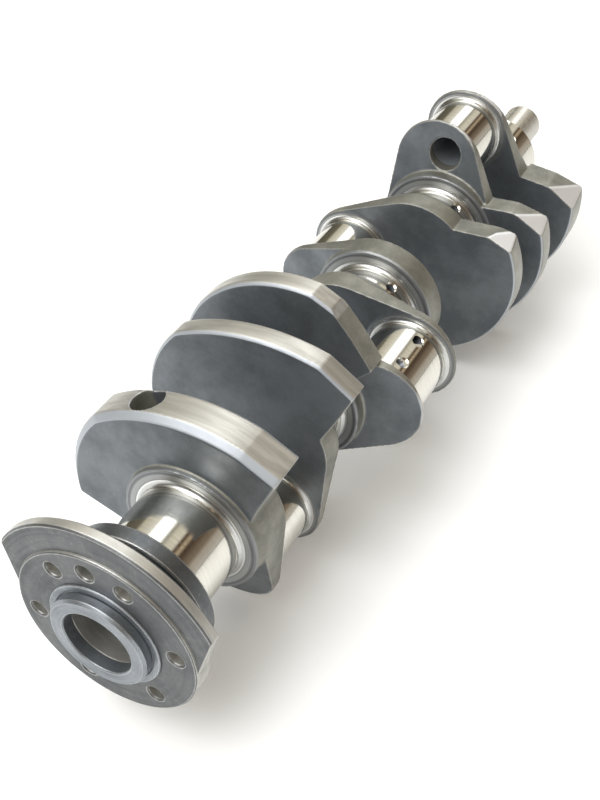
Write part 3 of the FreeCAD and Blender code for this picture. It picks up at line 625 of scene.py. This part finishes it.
for number in range(1, 6):
    finishNode("main_journal_%d" % number,
               journalMaterial("main journal %d finish" % number, Vector((0, 0, 0)), mainRadius))
for number in range(1, 5):
    name = "crankpin_%d" % number
    finishNode(name, journalMaterial("crankpin %d finish" % number, middle(name), pinRadius))
turnedPieces = {"pilot_hub": "register", "rear_flange": "flange", "flange_counterweight": "flange",
                "rear_seal_land": "seal", "oil_slinger": "slinger", "timing_gear_seat": "nose",
                "damper_snout": "nose"}
for name, look in turnedPieces.items():
    finishNode(name, turnedMaterial(name.replace("_", " ") + " finish", look))
print("journals and ends finished")


# pale floor under the lowest point of the crank
floorLook = {"size": 12, "place": 0.3, "gap": 0.5 * mm, "colour": (0.90, 0.915, 0.93, 1),
             "roughness": 0.9, "specular": 0.1, "glowColour": (1, 1, 1, 1), "glow": 0.15}


def makeStage():
    low, high = cadBounds
    bpy.ops.object.select_all(action="DESELECT")
    bpy.ops.mesh.primitive_plane_add(size=floorLook["size"],
                                     location=(floorLook["place"], 0, low[2] - floorLook["gap"]))
    floor = bpy.context.object
    floor.name = "floor"
    material, tree, shader = startMaterial("pale floor", 0.0)
    shader.inputs["Base Color"].default_value = floorLook["colour"]
    shader.inputs["Roughness"].default_value = floorLook["roughness"]
    shader.inputs["Specular IOR Level"].default_value = floorLook["specular"]
    shader.inputs["Emission Color"].default_value = floorLook["glowColour"]
    shader.inputs["Emission Strength"].default_value = floorLook["glow"]
    floor.data.materials.append(material)


# colours of the room by height over the horizon, seen along the crank: share of a half turn
# from +Y over the top to -Y
room = [(0.00, (0.12, 0.11, 0.08)), (0.16, (0.17, 0.155, 0.115)), (0.22, (0.70, 0.66, 0.54)),
        (0.33, (0.90, 0.87, 0.78)), (0.37, (2.5, 2.5, 2.45)), (0.47, (2.5, 2.5, 2.5)),
        (0.52, (0.42, 0.40, 0.34)), (0.57, (0.80, 0.75, 0.62)), (0.63, (0.85, 0.80, 0.68)),
        (0.67, (0.10, 0.06, 0.035)), (0.71, (0.55, 0.44, 0.31)), (0.75, (0.09, 0.06, 0.04)),
        (0.86, (0.24, 0.185, 0.135)), (0.92, (0.50, 0.45, 0.38)), (1.00, (0.60, 0.57, 0.52))]
studio = {"roomLight": 1.0, "behindFloor": (1, 1, 1, 1), "keyPower": 22.0, "keySize": 1.6,
          "keyPlace": (-0.7, 0.5, 1.5), "keyAim": (0.3, 0, 0)}


def makeRoom():
    world = bpy.data.worlds.new("room")
    scene.world = world
    world.use_nodes = True
    tree = world.node_tree
    parts = addNode(tree, "ShaderNodeSeparateXYZ")
    feed(tree, addNode(tree, "ShaderNodeTexCoord").outputs["Generated"], parts.inputs[0])
    turn = calc(tree, "DIVIDE", calc(tree, "ARCTAN2", parts.outputs["Z"], parts.outputs["Y"]), math.pi)
    ramp = addNode(tree, "ShaderNodeValToRGB")
    ramp.color_ramp.interpolation = "EASE"
    feed(tree, turn, ramp.inputs["Fac"])
    stops = ramp.color_ramp.elements
    while len(stops) < len(room):
        stops.new(0.5)
    for stop, (place, colour) in zip(stops, room):
        stop.position = place
        stop.color = (*colour, 1)
    # the room is only reflected; behind the floor the viewer sees plain white
    seen = addNode(tree, "ShaderNodeLightPath").outputs["Is Camera Ray"]
    feed(tree, blend(tree, seen, ramp.outputs["Color"], studio["behindFloor"]),
         tree.nodes["Background"].inputs["Color"])
    tree.nodes["Background"].inputs["Strength"].default_value = studio["roomLight"]


def makeKeyLight():
    light = bpy.data.lights.new("key", "AREA")
    light.energy = studio["keyPower"]
    light.size = studio["keySize"]
    lamp = bpy.data.objects.new("key", light)
    scene.collection.objects.link(lamp)
    lamp.location = studio["keyPlace"]
    lamp.rotation_mode = "QUATERNION"
    lamp.rotation_quaternion = (Vector(studio["keyAim"]) - lamp.location).to_track_quat("-Z", "Y")


# where the viewer stands, which way they look and how long the lens is
eye = {"place": (-0.27545, -0.26789, 0.50355), "look": (0.64893, 0.35489, -0.67301),
       "lens": 52.216, "sensor": 36, "near": 0.01, "far": 30}


def makeCamera():
    camera = bpy.data.cameras.new("view")
    camera.lens = eye["lens"]
    camera.sensor_width = eye["sensor"]
    camera.clip_start = eye["near"]
    camera.clip_end = eye["far"]
    holder = bpy.data.objects.new("view", camera)
    scene.collection.objects.link(holder)
    holder.location = eye["place"]
    holder.rotation_mode = "QUATERNION"
    holder.rotation_quaternion = Vector(eye["look"]).to_track_quat("-Z", "Y")
    scene.camera = holder


makeStage()
makeRoom()
makeKeyLight()
makeCamera()
scene.view_settings.view_transform = "Standard"
print("stage set")
